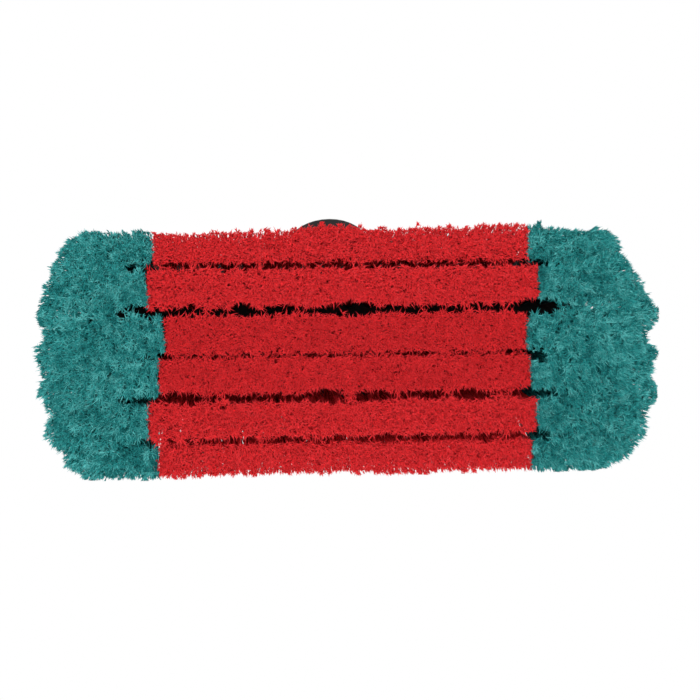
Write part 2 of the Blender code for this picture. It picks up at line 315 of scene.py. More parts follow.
# Plastic and rubber share one recipe: grain, rubbed edges and dust, with edges eased by a Bevel node
def mouldedMaterial(name, look):
    made, tree, shader = newMaterial(name, Specular_IOR_Level=look["gloss"])
    grain = useGroup(tree, mouldedGrain, -500, -200, Grain_Scale=look["grain"])
    rubbed = useGroup(tree, edgeRub, -500, 200, Wear=look["wear"])
    dust = useGroup(tree, settledDust, -500, 0, Amount=look["dust"])
    worn = mixColours(tree, -200, 300, rubbed.outputs[0], look["colour"], look["edge"])
    faint = mathNode(tree, -200, 100, "MULTIPLY", grain.outputs["Patches"], surfaceLook["patchMix"])
    patchy = mixColours(tree, 0, 300, faint, worn, look["edge"])
    dusty = mixColours(tree, 200, 300, dust.outputs[0], patchy, surfaceLook["dustColour"])
    tree.links.new(dusty, shader.inputs["Base Color"])
    dull = newNode(tree, "MapRange", 200, 50, To_Min=look["rough"] - surfaceLook["roughDrift"],
                   To_Max=look["rough"] + surfaceLook["roughDrift"])
    tree.links.new(grain.outputs["Patches"], dull.inputs["Value"])
    tree.links.new(dull.outputs["Result"], shader.inputs["Roughness"])
    eased = newNode(tree, "Bevel", 0, -350, Radius=look["ease"])
    bump = newNode(tree, "Bump", 300, -250, Strength=look["depth"], Distance=surfaceLook["grainHeight"])
    tree.links.new(grain.outputs["Height"], bump.inputs["Height"])
    tree.links.new(eased.outputs["Normal"], bump.inputs["Normal"])
    tree.links.new(bump.outputs["Normal"], shader.inputs["Normal"])
    return made


blockPlastic = mouldedMaterial("blockPlastic", {
    "colour": (0.014, 0.011, 0.011, 1), "edge": (0.026, 0.022, 0.022, 1), "gloss": 0.12, "rough": 0.52,
    "grain": 1100.0, "depth": 0.5, "wear": 0.5, "dust": 0.04, "ease": 0.0006})
coverPlastic = mouldedMaterial("coverPlastic", {
    "colour": (0.006, 0.006, 0.006, 1), "edge": (0.022, 0.021, 0.021, 1), "gloss": 0.25, "rough": 0.42,
    "grain": 800.0, "depth": 0.6, "wear": 0.6, "dust": 0.05, "ease": 0.0008})
bumperRubber = mouldedMaterial("bumperRubber", {
    "colour": (0.018, 0.018, 0.019, 1), "edge": (0.050, 0.050, 0.052, 1), "gloss": 0.20, "rough": 0.72,
    "grain": 1500.0, "depth": 0.8, "wear": 0.8, "dust": 0.08, "ease": 0.0006})
gasketRubber = mouldedMaterial("gasketRubber", {
    "colour": (0.040, 0.040, 0.043, 1), "edge": (0.070, 0.070, 0.073, 1), "gloss": 0.20, "rough": 0.78,
    "grain": 1800.0, "depth": 0.6, "wear": 0.3, "dust": 0.05, "ease": 0.0003})
washerRubber = mouldedMaterial("washerRubber", {
    "colour": (0.020, 0.019, 0.019, 1), "edge": (0.045, 0.043, 0.043, 1), "gloss": 0.25, "rough": 0.66,
    "grain": 1600.0, "depth": 0.5, "wear": 0.3, "dust": 0.05, "ease": 0.0004})


def steelMaterial():
    made, tree, shader = newMaterial("screwSteel", Metallic=1.0)
    place = newNode(tree, "TexCoord", -900, 0)
    drawn = newNode(tree, "Mapping", -700, 0, Scale=(1.0, 6.0, 1.0))
    tree.links.new(place.outputs["Object"], drawn.inputs["Vector"])
    lines = newNode(tree, "TexNoise", -500, 0, Scale=1400.0, Detail=4.0)
    tree.links.new(drawn.outputs["Vector"], lines.inputs["Vector"])
    tint = mixColours(tree, 0, 250, lines.outputs["Fac"], (0.50, 0.49, 0.48, 1), (0.68, 0.67, 0.66, 1))
    tree.links.new(tint, shader.inputs["Base Color"])
    dull = newNode(tree, "MapRange", 0, 0, To_Min=0.20, To_Max=0.42)
    tree.links.new(lines.outputs["Fac"], dull.inputs["Value"])
    tree.links.new(dull.outputs["Result"], shader.inputs["Roughness"])
    bump = newNode(tree, "Bump", 300, -250, Strength=0.3, Distance=0.00003)
    tree.links.new(lines.outputs["Fac"], bump.inputs["Height"])
    tree.links.new(bump.outputs["Normal"], shader.inputs["Normal"])
    return made


def filamentMaterial(name, deepAndPaintedShade, body, pale):
    made, tree, shader = newMaterial(name, Specular_IOR_Level=0.18, Diffuse_Roughness=1.0)
    # The deep colour is the darkest tone and also the painted shade on the lower shaft
    tone = useGroup(tree, filamentTone, 0, 200, Deep=(*deepAndPaintedShade, 1), Body=(*body, 1), Pale=(*pale, 1))
    tree.links.new(tone.outputs["Colour"], shader.inputs["Base Color"])
    dull = newNode(tree, "MapRange", 300, 0, To_Min=0.38, To_Max=0.60)
    tree.links.new(tone.outputs["Height"], dull.inputs["Value"])
    tree.links.new(dull.outputs["Result"], shader.inputs["Roughness"])
    return made


# Colours near the root, in the body and at the split ends. The first is the darkest dye tone and also the
# painted shade on the lower shafts and on the middle red rows
dyesAndPaintedShade = {
    "red": ((0.84, 0.030, 0.038), (0.97, 0.044, 0.054), (0.99, 0.070, 0.080)),
    "teal": ((0.010, 0.220, 0.222), (0.040, 0.445, 0.438), (0.165, 0.690, 0.675)),
}
screwSteel = steelMaterial()
redFilament = filamentMaterial("redFilament", *dyesAndPaintedShade["red"])
tealFilament = filamentMaterial("tealFilament", *dyesAndPaintedShade["teal"])
print("materials made")


# Bristle face: where the roots of a row are, and which way the face looks there
def rowFace(row):
    share = (tuftField["rootShare"] + tuftField["rootShare"][::-1])[row]
    side = 1 if row < 3 else -1
    y = side * share * blockHigh.y
    flatHalf = (tuftField["rootShare"][1] + tuftField["rootShare"][2]) / 2 * blockHigh.y
    rise = max(0, abs(y) - flatHalf)
    tilt = tuftField["sideTilt"] if rise else 0
    down = Vector((0, side * sin(tilt), -cos(tilt)))
    turn = (pi + side * tilt, 0, 0)      # stands a primitive's Z along down
    return y, blockLow.z + rise * tan(tuftField["sideTilt"]), down, turn


def rowTufts(row):
    return (tuftField["rowTufts"] + tuftField["rowTufts"][::-1])[row]


# The moulded block with its tufts' real drilled holes
blockHoles = {
    "radius": 0.0025,
    "depth": 0.0110,
    "lip": 0.0004,          # eased rim of each hole
    "lipSpread": 1.16,
    "sides": 16,
    "clear": 0.002,         # how far the drills stand out of the face
    "stripHalf": 0.0017,    # plastic that fills the slots the solids need
    "stripDepth": 0.0036,
    "stripOver": 0.0004,
    "smoothBelow": radians(32),
}


def rowTool(row):
    y, z, down, turn = rowFace(row)
    count = 2 * rowTufts(row)
    first = Vector(((0.5 - count / 2) * tuftField["pitch"], y, z))
    start = first - down * blockHoles["depth"]
    tool = newShape(bpy.ops.mesh.primitive_circle_add, vertices=blockHoles["sides"],
                    radius=blockHoles["radius"], fill_type="NGON", location=start, rotation=turn)
    bpy.ops.object.mode_set(mode="EDIT")
    steps = ((blockHoles["depth"] - blockHoles["lip"], 1.0), (blockHoles["lip"], blockHoles["lipSpread"]),
             (blockHoles["clear"], 1.0))
    reached = start
    for length, spread in steps:
        reached = reached + down * length
        bpy.ops.mesh.extrude_region_move(TRANSFORM_OT_translate={"value": down * length})
        bpy.ops.transform.resize(value=(spread,) * 3, center_override=reached)
    bpy.ops.object.mode_set(mode="OBJECT")
    settle(tool)
    repeat = tool.modifiers.new("repeat", "ARRAY")
    repeat.use_relative_offset = False
    repeat.use_constant_offset = True
    repeat.constant_offset_displace = (tuftField["pitch"], 0, 0)
    repeat.count = count
    applyAll(tool)
    outwards(tool)
    return tool


def rowStrip(row):
    y, z, down, turn = rowFace(row)
    half = blockHoles["stripDepth"] / 2
    length = 2 * rowTufts(row) * tuftField["pitch"] + blockHoles["stripOver"]
    middle = Vector((0, y, z)) - down * half
    strip = newShape(bpy.ops.mesh.primitive_cube_add, size=1, location=middle, rotation=turn)
    strip.scale = (length, 2 * blockHoles["stripHalf"], 2 * half)
    settle(strip)
    return strip


def copyOfNode(node, name):
    piece = newObject(name, frame["nodes"][node].data.copy())
    pickOnly(piece)
    bpy.ops.object.mode_set(mode="EDIT")
    bpy.ops.mesh.select_all(action="SELECT")
    bpy.ops.mesh.remove_doubles(threshold=0.000002)
    bpy.ops.mesh.dissolve_limited(angle_limit=radians(0.5))
    bpy.ops.mesh.customdata_custom_splitnormals_clear()
    bpy.ops.object.mode_set(mode="OBJECT")
    return piece


def drilledBlock():
    block = copyOfNode("brush_block", "brushBlock")
    for row in range(6):
        carve(block, rowStrip(row), "UNION")
    carve(block, joined([rowTool(row) for row in range(6)], "drills"))
    pickOnly(block)
    bpy.ops.object.shade_smooth_by_angle(angle=blockHoles["smoothBelow"])
    finishPiece(block, blockPlastic, ["brush_block"])


drilledBlock()
print("block drilled")


# Helical ridges, drawn round the Z axis from a small section
def ridge(name, section, pitch, turns, steps):
    piece = newShape(bpy.ops.mesh.primitive_circle_add, vertices=len(section), fill_type="NOTHING")
    piece.name = name
    for vertex, (radius, height) in zip(piece.data.vertices, section):
        vertex.co = (radius, 0, height)
    wind = piece.modifiers.new("wind", "SCREW")
    wind.screw_offset = pitch
    wind.iterations = turns
    wind.steps = wind.render_steps = steps
    wind.use_merge_vertices = False
    applyAll(piece)
    pickOnly(piece)
    bpy.ops.object.mode_set(mode="EDIT")
    bpy.ops.mesh.select_all(action="SELECT")
    bpy.ops.mesh.fill_holes(sides=len(section))
    bpy.ops.object.mode_set(mode="OBJECT")
    outwards(piece)
    return piece


# Thread for the handle, moulded in the socket
socketThread = {
    "bore": 0.0126,
    "height": 0.0010,
    "pitch": 0.0027,
    "turns": 7,
    "start": 0.0022,        # below the mouth
    "sunk": 0.0003,
    "baseHalf": 0.42,       # of the pitch
    "crestHalf": 0.12,
    "steps": 48,            # in each turn
    "smoothBelow": radians(40),
}


def mouldThread():
    t = socketThread
    outer = t["bore"] + t["sunk"]
    inner = t["bore"] - t["height"]
    low = -t["start"] - t["turns"] * t["pitch"]
    base = t["pitch"] * t["baseHalf"]
    crest = t["pitch"] * t["crestHalf"]
    section = ((outer, low - base), (inner, low - crest), (inner, low + crest), (outer, low + base))
    thread = ridge("handleThread", section, t["pitch"], t["turns"], t["steps"])
    thread.data.transform(socketPlace)
    pickOnly(thread)
    bpy.ops.object.shade_smooth_by_angle(angle=t["smoothBelow"])
    finishPiece(thread, coverPlastic)


mouldThread()
for node, material in (("back_cover", coverPlastic), ("edge_bumper", bumperRubber),
                       ("cover_gasket", gasketRubber), ("hose_washer", washerRubber)):
    frame["nodes"][node].data.materials.clear()
    frame["nodes"][node].data.materials.append(material)
print("cover, bumper and seals finished")


# Pan-head screws with a cross recess and a real thread
screwShape = {
    "headRadius": 0.0034,
    "headHeight": 0.0021,
    "crown": 0.0010,
    "rim": 0.0001,          # edges this near the top are crowned
    "headSides": 32,
    "shankRadius": 0.0014,
    "shankSides": 16,
    "pointLength": 0.0030,
    "pointShare": 0.25,     # of the shank's radius, at the very tip
    "threadRadius": 0.00175,
    "threadSunk": 0.0001,
    "threadSteps": 14,      # in each turn
    "ridgeHalf": 0.3,       # of the pitch
    "pitch": 0.0013,
    "plain": 0.0006,        # without thread below the head
    "overlap": 0.0002,      # of the shank with the head and the point
    "crossLength": 0.0038,
    "crossWidth": 0.0009,
    "crossDepth": 0.0013,
    "taper": 0.45,
    "smoothBelow": radians(35),
    "seed": 4,              # for how far each head is turned
}


def crossTool(top):
    s = screwShape
    blades = []
    for turn in (0, pi / 2):
        blade = newShape(bpy.ops.mesh.primitive_cube_add, size=1, location=(0, 0, top), rotation=(0, 0, turn))
        blade.scale = (s["crossLength"], s["crossWidth"], 2 * s["crossDepth"])
        settle(blade)
        for vertex in blade.data.vertices:
            if vertex.co.z < top:
                vertex.co.x *= s["taper"] if not turn else 1
                vertex.co.y *= s["taper"] if turn else 1
        blades.append(blade)
    carve(blades[0], blades[1], "UNION")
    return blades[0]


def panHead(seat, high):
    s = screwShape
    head = newShape(bpy.ops.mesh.primitive_cylinder_add, vertices=s["headSides"], radius=s["headRadius"],
                    depth=s["headHeight"], location=(0, 0, seat + s["headHeight"] / 2))
    settle(head)
    bpy.ops.object.mode_set(mode="EDIT")
    bpy.ops.mesh.select_mode(type="EDGE")
    bpy.ops.mesh.select_all(action="DESELECT")
    bpy.ops.object.mode_set(mode="OBJECT")
    for edge in head.data.edges:
        edge.select = all(head.data.vertices[i].co.z > high - s["rim"] for i in edge.vertices)
    bpy.ops.object.mode_set(mode="EDIT")
    bpy.ops.mesh.bevel(offset=s["crown"], segments=4, affect="EDGES")
    bpy.ops.object.mode_set(mode="OBJECT")
    carve(head, crossTool(high))
    return head


def threadedShank(low, seat):
    s = screwShape
    shoulder = low + s["pointLength"]
    point = newShape(bpy.ops.mesh.primitive_cone_add, vertices=s["shankSides"], depth=s["pointLength"],
                     radius1=s["shankRadius"] * s["pointShare"], radius2=s["shankRadius"],
                     location=(0, 0, (low + shoulder) / 2))
    shank = newShape(bpy.ops.mesh.primitive_cylinder_add, vertices=s["shankSides"], radius=s["shankRadius"],
                     depth=seat - shoulder + 2 * s["overlap"], location=(0, 0, (seat + shoulder) / 2))
    turns = int((seat - shoulder - s["plain"]) / s["pitch"])
    half = s["pitch"] * s["ridgeHalf"]
    core = s["shankRadius"] - s["threadSunk"]
    start = shoulder - s["overlap"]
    section = ((core, start - half), (s["threadRadius"], start), (core, start + half))
    thread = ridge("screwThread", section, s["pitch"], turns, s["threadSteps"])
    for piece in (point, shank):
        settle(piece)
    return [point, shank, thread]


def modelScrew(low, high):
    seat = high - screwShape["headHeight"]
    screw = joined([panHead(seat, high), *threadedShank(low, seat)], "panScrew")
    bpy.ops.object.shade_smooth_by_angle(angle=screwShape["smoothBelow"])
    return screw


def placeScrews():
    names = sorted(name for name in frame["nodes"] if name.startswith("cover_screw"))
    dice = np.random.default_rng(screwShape["seed"])
    low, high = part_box(names[0])
    master = modelScrew(low.z, high.z)
    for name in names:
        low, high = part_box(name)
        copy = newObject(name.replace("cover_s", "coverS"), master.data.copy())
        centre = (low + high) / 2
        turn = Matrix.Rotation(dice.uniform(0, pi / 2), 4, "Z")
        copy.data.transform(Matrix.Translation((centre.x, centre.y, 0)) @ turn)
        finishPiece(copy, screwSteel, [name])
    bpy.data.objects.remove(master)


placeScrews()
print("screws placed")


# One filament: a three-sided shaft with pointed ends split off near its tip
filament = {
    "shaft": ((0.0, 0.00026), (0.38, 0.00026), (0.75, 0.00025), (0.95, 0.00016)),
    "end": (0.92, 0.960, 1.0),      # where it starts, is thickest and stops
    "endRadius": 0.00027,
    "ends": 5,
    "split": 0.92,
    "endStretch": (0.70, 1.15),
    "endLean": 1.7,                 # above 1, the ends keep together at first
    "sway": 9,                      # radians of wave from root to tip
    "bend": 0.5,                    # how far down the middle of its curve is
    "rootSunk": 0.0030,
}


def drawnShaft():
    rings = filament["shaft"]
    shaft = newShape(bpy.ops.mesh.primitive_circle_add, vertices=3, radius=rings[0][1], fill_type="NGON",
                     location=(0, 0, rings[0][0]))
    bpy.ops.object.mode_set(mode="EDIT")
    for (low, was), (high, now) in zip(rings, rings[1:]):
        bpy.ops.mesh.extrude_region_move(TRANSFORM_OT_translate={"value": (0, 0, high - low)})
        bpy.ops.transform.resize(value=(now / was, now / was, 1), center_override=(0, 0, high))
    bpy.ops.mesh.select_all(action="SELECT")
    bpy.ops.mesh.normals_make_consistent(inside=False)
    bpy.ops.object.mode_set(mode="OBJECT")
    settle(shaft)
    return shaft


# A slip that is pointed both ways
def drawnEnd():
    start, middle, stop = filament["end"]
    end = newShape(bpy.ops.mesh.primitive_cone_add, vertices=3, radius1=filament["endRadius"],
                   depth=stop - middle, location=(0, 0, (stop + middle) / 2))
    settle(end)
    bpy.ops.object.mode_set(mode="EDIT")
    bpy.ops.mesh.select_mode(type="FACE")
    bpy.ops.mesh.select_all(action="DESELECT")
    bpy.ops.object.mode_set(mode="OBJECT")
    for face in end.data.polygons:
        face.select = face.normal.z < -0.9
    bpy.ops.object.mode_set(mode="EDIT")
    bpy.ops.mesh.poke(offset=middle - start)
    bpy.ops.object.mode_set(mode="OBJECT")
    return end


def modelFilament():
    shaft = drawnShaft()
    body = len(shaft.data.vertices)
    ends = [drawnEnd() for _ in range(filament["ends"])]
    each = len(ends[0].data.vertices)
    whole = joined([shaft, *ends], "filament")
    endOf = np.repeat(np.arange(-1, filament["ends"]), [body] + [each] * filament["ends"])
    return whole, endOf


def coordsOf(mesh):
    coords = np.empty(len(mesh.vertices) * 3)
    mesh.vertices.foreach_get("co", coords)
    return coords.reshape(-1, 3)


def unit(vectors):
    return vectors / np.linalg.norm(vectors, axis=-1, keepdims=True)


# Rows from the top of the photograph down, as the camera sees them on the plane that the brush
# stands on. Plus is the end on the +X side, and each end and colour border is its own
brushRows = {
    "middle": (0.0518, 0.0317, 0.0091, -0.0112, -0.0328, -0.0525),
    "half": (0.0073, 0.0090, 0.0092, 0.0085, 0.0083, 0.0073),
    # The brush's outline: the outer edges of the first and last rows, and how far the ends reach at a Y
    "topEdge": ((-0.122, 0.0586), (-0.097, 0.0608), (-0.073, 0.0628), (-0.048, 0.0602), (-0.038, 0.0613),
                (-0.030, 0.0612), (-0.020, 0.0605), (0.001, 0.0616), (0.012, 0.0632), (0.021, 0.0622),
                (0.030, 0.0604), (0.050, 0.0600), (0.060, 0.0603), (0.078, 0.0593), (0.090, 0.0600),
                (0.120, 0.0604)),
    "bottomEdge": ((-0.123, -0.0615), (-0.095, -0.0606), (-0.048, -0.0604), (-0.023, -0.0618),
                   (0.006, -0.0597), (0.050, -0.0602), (0.085, -0.0610), (0.113, -0.0611)),
    "endPlus": ((-0.0600, 0.1274), (-0.0585, 0.1329), (-0.0525, 0.1409), (-0.0476, 0.1416),
                (-0.0426, 0.1484), (-0.0377, 0.1507), (-0.0280, 0.1482), (-0.0183, 0.1532),
                (-0.0086, 0.1516), (0.0011, 0.1548), (0.0106, 0.1499), (0.0203, 0.1535), (0.0299, 0.1505),
                (0.0394, 0.1465), (0.0489, 0.1435), (0.0537, 0.1396), (0.0584, 0.1324), (0.0602, 0.1274)),
    "endMinus": ((-0.0605, 0.1240), (-0.0562, 0.1341), (-0.0533, 0.1396), (-0.0484, 0.1421),
                 (-0.0435, 0.1471), (-0.0335, 0.1475), (-0.0237, 0.1544), (-0.0137, 0.1498),
                 (-0.0038, 0.1532), (0.0062, 0.1481), (0.0159, 0.1546), (0.0259, 0.1465), (0.0358, 0.1432),
                 (0.0457, 0.1357), (0.0507, 0.1333), (0.0556, 0.1288), (0.0586, 0.1233)),
    "edgeMargin": 0.0012,       # the split ends lean out past it
    "edgeSoft": 0.0004,
    "edgeCrowding": 0.3,        # how much closer the tips stand towards it
    "edgeRim": 3,               # the outer one of so many parts of the first and last rows is their rim
    "endRim": 8,
    "evenSteps": (0.7548776662, 0.5698402909),      # multiples of these fill a square evenly
    "borderPlus": (0.0966, 0.0990, 0.0907, 0.0935, 0.0995, 0.0946),
    "borderMinus": (0.0867, 0.0920, 0.0860, 0.0880, 0.0915, 0.0890),
    "crowding": (1.25, 1.0, 1.0, 1.0, 1.0, 1.25),
    # Painted shade: the middle two red rows are shifted towards the deep colour
    "paintedRowShade": (0.0, 0.0, -0.3, -0.3, 0.0, 0.0),
    "endCrowding": 0.25,
    "endWiden": 0.38,           # how much wider a row grows past its colour border
    "widenShare": (0.15, 0.50),
    "rowWobble": 0.18,
    "wobbleWaves": (260, 610, 1130, 1900),          # radians per metre
    # Where the rows part and show the block, or below zero lean together: the middle's X and Y, half the
    # length and half the width
    "partings": ((0.1054, 0.0230, 0.0049, 0.0030), (0.0780, 0.0217, 0.0044, 0.0030),
                 (0.0530, 0.0213, 0.0068, 0.0030), (-0.0005, 0.0215, 0.0117, 0.0036),
                 (-0.0298, 0.0197, 0.0054, 0.0022), (-0.0925, 0.0217, 0.0156, 0.0032),
                 (-0.0925, -0.0040, 0.0060, 0.0042), (0.0838, -0.0210, 0.0073, 0.0026),
                 (0.0134, -0.0212, 0.0107, 0.0032), (-0.0120, -0.0217, 0.0080, 0.0028),
                 (-0.0579, -0.0220, 0.0068, 0.0026), (-0.0189, -0.0430, 0.0044, 0.0026),
                 (-0.0678, -0.0449, 0.0044, 0.0024), (0.0713, 0.0208, 0.0030, -0.0026),
                 (0.0606, 0.0208, 0.0026, -0.0026), (-0.0347, 0.0193, 0.0028, -0.0026),
                 (-0.0576, 0.0187, 0.0030, -0.0026), (0.0885, -0.0420, 0.0090, -0.0030),
                 (0.0695, -0.0219, 0.0032, -0.0026), (0.0612, -0.0215, 0.0028, -0.0026),
                 (0.0014, -0.0215, 0.0032, -0.0026), (-0.0220, -0.0219, 0.0026, -0.0024),
                 (-0.0469, -0.0222, 0.0030, -0.0026), (-0.0741, -0.0232, 0.0060, -0.0028),
                 (-0.1160, 0.0222, 0.0055, -0.0026), (0.0442, 0.0545, 0.0050, -0.0026)),
    "seam": 0.0001,             # bare line where the two colours meet
    "seamWobble": 0.0010,
    "seamWaves": (1500, 2900),
    "seamHold": 0.65,
    "seamGrip": (0.6, 1.0),     # from where along a filament, growing, and where in full
    "peakEvery": 0.0032,        # little peaks along the outer edges
    "peakHeight": 0.0034,
    "peakRarity": 3,            # the more, the fewer high ones
    "peakWidth": (0.0012, 0.0026),
    "edgeCalm": 0.7,            # how much less the split ends spread at the rim
    "rootRadius": 0.0021,
    "rootScatter": 0.25,
    "tuftJitter": 0.18,
    "tuftMargin": 0.001,
    "endTufts": 0.75,           # below 1, an end's tips draw more on its outer tufts
    "leastFall": 0.040,
    "lengthJitter": 0.0009,
    "earlyFan": (0.66, 0.42),   # share of the sideways drift that is gone by half way, along and across
    "stray": 0.03,
    "strayLength": 0.0022,
    "reach": (0.1552, 0.0630),
    "rounds": 3,                # in which the tips' places and heights are matched
    "midTone": 0.5,
    "fullTurn": 6.28,           # radians
    "seed": 21,
}
redStyle = {
    "material": redFilament, "slot": "red_filament", "isEnd": 0, "strands": 1.11e6, "perLock": 2,
    "lockSpread": 0.0006, "fan": (0.0018, 0.0014), "lean": 0.3, "wave": 0.0004, "relief": 0.0007,
    "endTone": 0.02, "lockTone": 0.07}
tealStyle = {
    "material": tealFilament, "slot": "teal_filament", "isEnd": 1, "strands": 1.09e6, "perLock": 9,
    "lockSpread": 0.0007, "fan": (0.0016, 0.0016), "lean": 0.3, "wave": 0.0008, "relief": 0.0034,
    "endTone": 0.25, "lockTone": 0.24}


def edgePeaks(places, dice):
    r = brushRows
    centres = np.arange(places.min(), places.max(), r["peakEvery"])
    centres = centres + dice.uniform(-0.5, 0.5, len(centres)) * r["peakEvery"]
    heights = r["peakHeight"] * dice.uniform(0, 1, len(centres)) ** r["peakRarity"]
    widths = dice.uniform(*r["peakWidth"], len(centres))
    return (heights * np.clip(1 - np.abs(places[:, None] - centres) / widths, 0, 1)).max(axis=1)


# Back into 0 to 1, so that what is scattered past a band's edge fills the band near it
def folded(shares):
    return 1 - np.abs(1 - np.abs(shares))


# Rises from 0 to 1 over the last of so many parts of a band
def lastPart(shares, parts):
    return np.clip(shares * parts - (parts - 1), 0, 1)


def parted(x, y):
    for middleX, middleY, reachX, widest in brushRows["partings"]:
        opening = widest * np.clip(1 - ((x - middleX) / reachX) ** 2, 0, 1)
        off = y - middleY
        y = y + np.sign(off) * opening * np.clip(1 - np.abs(off / widest) / 2, 0, 1)
    return y


# Tips come in small locks, spread evenly over a band. How far along it and how far outward each tip is,
# and which lock it is in
def lockPlaces(row, low, high, style, dice):
    r = brushRows
    length, width = high - low, 2 * r["half"][row]
    area = length * width * (1 + style["isEnd"] * r["endWiden"])
    locks = int(area * style["strands"] * r["crowding"][row] / style["perLock"])
    lock = np.repeat(np.arange(locks), style["perLock"])
    even = np.outer(np.arange(locks) + dice.uniform(0, 99), r["evenSteps"])[lock] % 1
    scatter = dice.normal(0, style["lockSpread"], even.shape) / (length, width)
    share, outward = folded(even + scatter).T
    share = 1 - (1 - share) ** (1 + style["isEnd"] * r["endCrowding"])
    if row in (0, 5):
        outward = 1 - (1 - outward) ** (1 + r["edgeCrowding"])
    return share, outward, lock


# Where the tips of a row are between two places along it. Says also how still their split ends keep,
# as they do at the brush's outer edge
def tipPlaces(row, low, high, side, style, dice):
    r = brushRows
    outer = 1 if row < 3 else -1
    share, outward, lock = lockPlaces(row, low, high, style, dice)
    along = low + share * (high - low)
    waves = sum(np.sin(along * k + dice.uniform(0, 6)) for k in r["wobbleWaves"]) / len(r["wobbleWaves"])
    widen = 1 + style["isEnd"] * r["endWiden"] * np.interp(share, r["widenShare"], (0, 1))
    half = r["half"][row] * widen * (1 + r["rowWobble"] * waves) * outer
    inner = r["middle"][row] - half
    edge = r["middle"][row] + half
    if row in (0, 5):
        edge = np.interp(side * along, *zip(*r["topEdge" if row == 0 else "bottomEdge"]))
        edge = edge - outer * r["edgeMargin"]
    y = inner + (edge - inner) * outward + dice.normal(0, r["edgeSoft"], len(lock))
    y = parted(side * along, y)
    rim = style["isEnd"] * lastPart(share, r["endRim"])
    if style["isEnd"]:
        reach = np.interp(y, *zip(*r["endPlus" if side > 0 else "endMinus"])) - r["edgeMargin"]
        along = low + share * (reach - low) + rim * edgePeaks(y, dice)
    if row in (0, 5):
        y = y + outer * outward * edgePeaks(along, dice)
        rim = np.maximum(rim, lastPart(outward, r["edgeRim"]))
    return np.stack([side * along, y], axis=1), lock, 1 - r["edgeCalm"] * rim


# The tips of one piece, the tufts that they spring from, counted from the middle, and the two ends of the
# stretch of X that their split ends keep to, with 1 for an end that wobbles as a seam does
def sectionTips(row, section, style, dice):
    r = brushRows
    red = tuftField["redTufts"]
    last = rowTufts(row)
    if section == "red":
        plus, minus = r["borderPlus"][row], r["borderMinus"][row]
        tips, lock, calm = tipPlaces(row, -minus, plus, 1, style, dice)
        tuft = tips[:, 0] / np.where(tips[:, 0] > 0, plus, minus) * red
        least, most = -red, red
        room = ((r["seam"] - minus, 1), (plus - r["seam"], 1))
    else:
        side, toward = (1, "Plus") if section == "teal_plus" else (-1, "Minus")
        border = r["border" + toward][row]
        reach = np.interp(r["middle"][row], *zip(*r["end" + toward]))
        tips, lock, calm = tipPlaces(row, border, reach, side, style, dice)
        share = np.clip((np.abs(tips[:, 0]) - border) / (reach - border), 0, 1)
        tuft = side * (red + (last - red) * share ** r["endTufts"])
        least, most = sorted((side * red, side * last))
        room = sorted(((side * (border + r["seam"]), 1), (side, 0)))
    tuft = tuft + dice.normal(0, r["tuftJitter"], len(tips))
    return tips, lock, calm, np.clip(tuft, least + r["tuftMargin"], most - r["tuftMargin"]), room


# Roots within their tufts, and which way the face looks there
def rootPlaces(row, tips, tuft, dice):
    r = brushRows
    y, z, down, _ = rowFace(row)
    cell = np.floor(tuft)
    inTuft = np.stack([2 * (tuft - cell) - 1, (tips[:, 1] - r["middle"][row]) / r["half"][row]], axis=1)
    inTuft += dice.normal(0, r["rootScatter"], inTuft.shape)
    inTuft /= np.maximum(1, np.linalg.norm(inTuft, axis=1))[:, None]
    x = (cell + 0.5) * tuftField["pitch"] + inTuft[:, 0] * r["rootRadius"]
    return np.column_stack([x, y + inTuft[:, 1] * r["rootRadius"], np.full(len(x), z)]), np.array(down)


# A slanting strand ends above the floor, so its tip moves out along the camera's line of sight
def endPlaces(tips, roots, length, lowest):
    r = brushRows
    eye = np.array(photoView["place"])
    ends = tips
    for _ in range(r["rounds"]):
        drift = ends - roots[:, :2]
        fall = np.sqrt(np.maximum(r["leastFall"] ** 2, length ** 2 - (drift ** 2).sum(axis=1)))
        height = np.maximum(roots[:, 2] - fall, lowest)
        ends = eye[:2] + (tips - eye[:2]) * (1 - height / eye[2])[:, None]
    return np.column_stack([ends, height])


# The points of copies of a filament, each along its own curve, swaying a little and turned its own way,
# and how far from its root each point is
def curvedPoints(shape, endOf, roots, bends, ends, wave, dice):
    full = brushRows["fullTurn"]
    count = len(roots)
    split = filament["split"]
    stretch = dice.uniform(*filament["endStretch"], (count, filament["ends"]))[:, np.maximum(endOf, 0)]
    t = np.where(endOf >= 0, split + (shape[:, 2] - split) * stretch, shape[:, 2])
    swing = dice.uniform(0, full, (count, 2, 1))
    wave = dice.normal(0, wave, (count, 2, 1))
    x, y = [shape[:, axis] + wave[:, axis] * t ** 2 * np.sin(filament["sway"] * t + swing[:, axis])
            for axis in (0, 1)]
    u = t[..., None]
    path = (1 - u) ** 2 * roots[:, None] + 2 * u * (1 - u) * bends[:, None] + u ** 2 * ends[:, None]
    tangent = unit(2 * (1 - u) * (bends - roots)[:, None] + 2 * u * (ends - bends)[:, None])
    turn = dice.uniform(0, full, count)
    guide = np.column_stack([np.cos(turn), np.sin(turn), np.zeros(count)])[:, None]
    across = unit(np.cross(guide, tangent))
    return path + across * x[..., None] + np.cross(tangent, across) * y[..., None], t


# The split ends lean out, and rise as they do
def fanOut(points, shape, endOf, lock, calm, style, dice):
    split = filament["split"]
    lean = dice.normal(0, style["lean"], (lock.max() + 1, 2))[lock]
    fan = dice.normal(0, 1, (len(lock), filament["ends"], 2)) + lean[:, None]
    fan = fan * style["fan"] * calm[:, None, None]
    past = np.clip((shape[:, 2] - split) / (1 - split), 0, 1) * (endOf >= 0)
    spread = fan[:, np.maximum(endOf, 0)] * (past ** filament["endLean"])[:, None]
    points[..., :2] += spread
    points[..., 2] += (spread ** 2).sum(axis=-1) / (2 * (1 - split) * blockLow.z)


